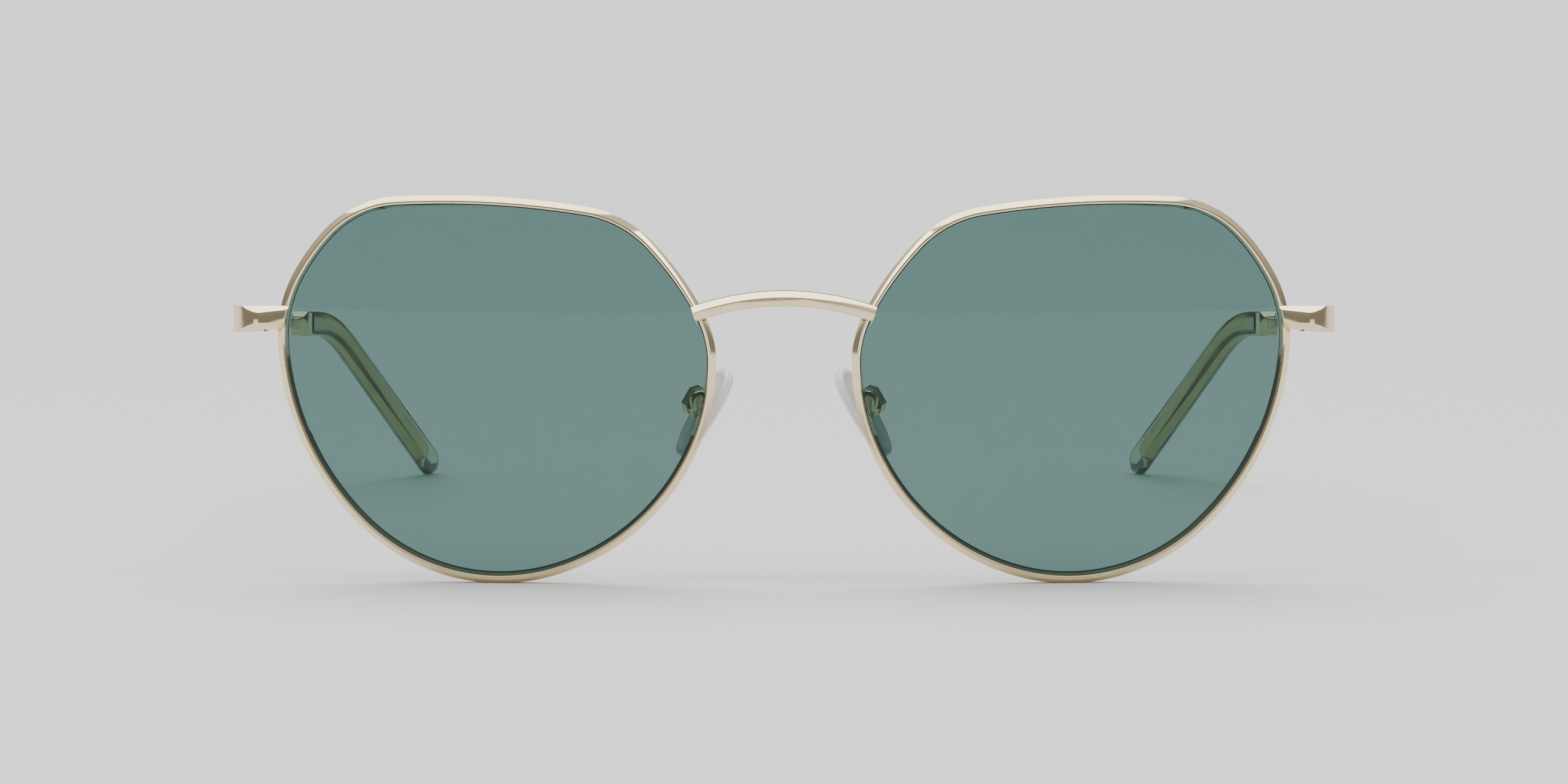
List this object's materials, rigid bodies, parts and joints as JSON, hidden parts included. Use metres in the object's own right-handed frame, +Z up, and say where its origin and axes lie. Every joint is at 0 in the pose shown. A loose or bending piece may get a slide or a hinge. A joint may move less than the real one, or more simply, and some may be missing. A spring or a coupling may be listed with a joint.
{
  "type": "sunglasses",
  "caption": "Sunglasses with thin metal rims, tinted lenses, an arched bridge, folding temples with clear ear tips, and rocking nose pads on wire arms.",
  "frame": {"origin": "on the table under the middle of the object's box, with the temples open", "axes": "+X to the wearer's left, +Y back along the temples, +Z up; it stands on both rims and both temple tips"},
  "size_m": [0.1398, 0.1484, 0.0492],
  "materials": {
    "champagne_gold": "polished light gold plating over nickel alloy",
    "screw_metal": "plated steel screws",
    "green_lens": "grey-green tinted, clear and glossy",
    "clear_acetate": "transparent grey-olive, polished",
    "clear_silicone": "clear silicone, satin",
    "insert_plastic": "clear hard plastic"
  },
  "bodies": {
    "front": {"bridge": "champagne_gold", "right_rim": "champagne_gold", "right_lens": "green_lens", "right_endpiece": "champagne_gold", "right_rim_lock_upper": "champagne_gold", "right_rim_lock_lower": "champagne_gold", "right_rim_lock_screw": "screw_metal", "right_front_hinge_leaf": "champagne_gold", "right_hinge_screw": "screw_metal", "right_pad_arm": "champagne_gold", "right_pad_box": "champagne_gold", "right_pad_screw": "screw_metal", "left_rim": "champagne_gold", "left_lens": "green_lens", "left_endpiece": "champagne_gold", "left_rim_lock_upper": "champagne_gold", "left_rim_lock_lower": "champagne_gold", "left_rim_lock_screw": "screw_metal", "left_front_hinge_leaf": "champagne_gold", "left_hinge_screw": "screw_metal", "left_pad_arm": "champagne_gold", "left_pad_box": "champagne_gold", "left_pad_screw": "screw_metal"},
    "right_temple": {"right_temple_hinge_leaf": "champagne_gold", "right_temple": "champagne_gold", "right_temple_tip": "clear_acetate"},
    "left_temple": {"left_temple_hinge_leaf": "champagne_gold", "left_temple": "champagne_gold", "left_temple_tip": "clear_acetate"},
    "right_pad": {"right_pad_insert": "insert_plastic", "right_nose_pad": "clear_silicone"},
    "left_pad": {"left_pad_insert": "insert_plastic", "left_nose_pad": "clear_silicone"}
  },
  "joints": [
    {"name": "left_temple_fold", "type": "hinge", "parent": "front", "child": "left_temple", "pos_m": [0.06656, -0.06023, 0.03275], "axis": [0, 0.081, 0.9967], "range_deg": [0, 86]},
    {"name": "right_temple_fold", "type": "hinge", "parent": "front", "child": "right_temple", "pos_m": [-0.06656, -0.06023, 0.03275], "axis": [0, -0.081, -0.9967], "range_deg": [0, 73]},
    {"name": "left_pad_rock", "type": "hinge", "parent": "front", "child": "left_pad", "pos_m": [0.01101, -0.06499, 0.02266], "axis": [0.2974, 0.9503, 0.0922], "range_deg": [-8, 8]},
    {"name": "right_pad_rock", "type": "hinge", "parent": "front", "child": "right_pad", "pos_m": [-0.01101, -0.06499, 0.02266], "axis": [-0.2974, 0.9503, 0.0922], "range_deg": [-8, 8]}
  ]
}
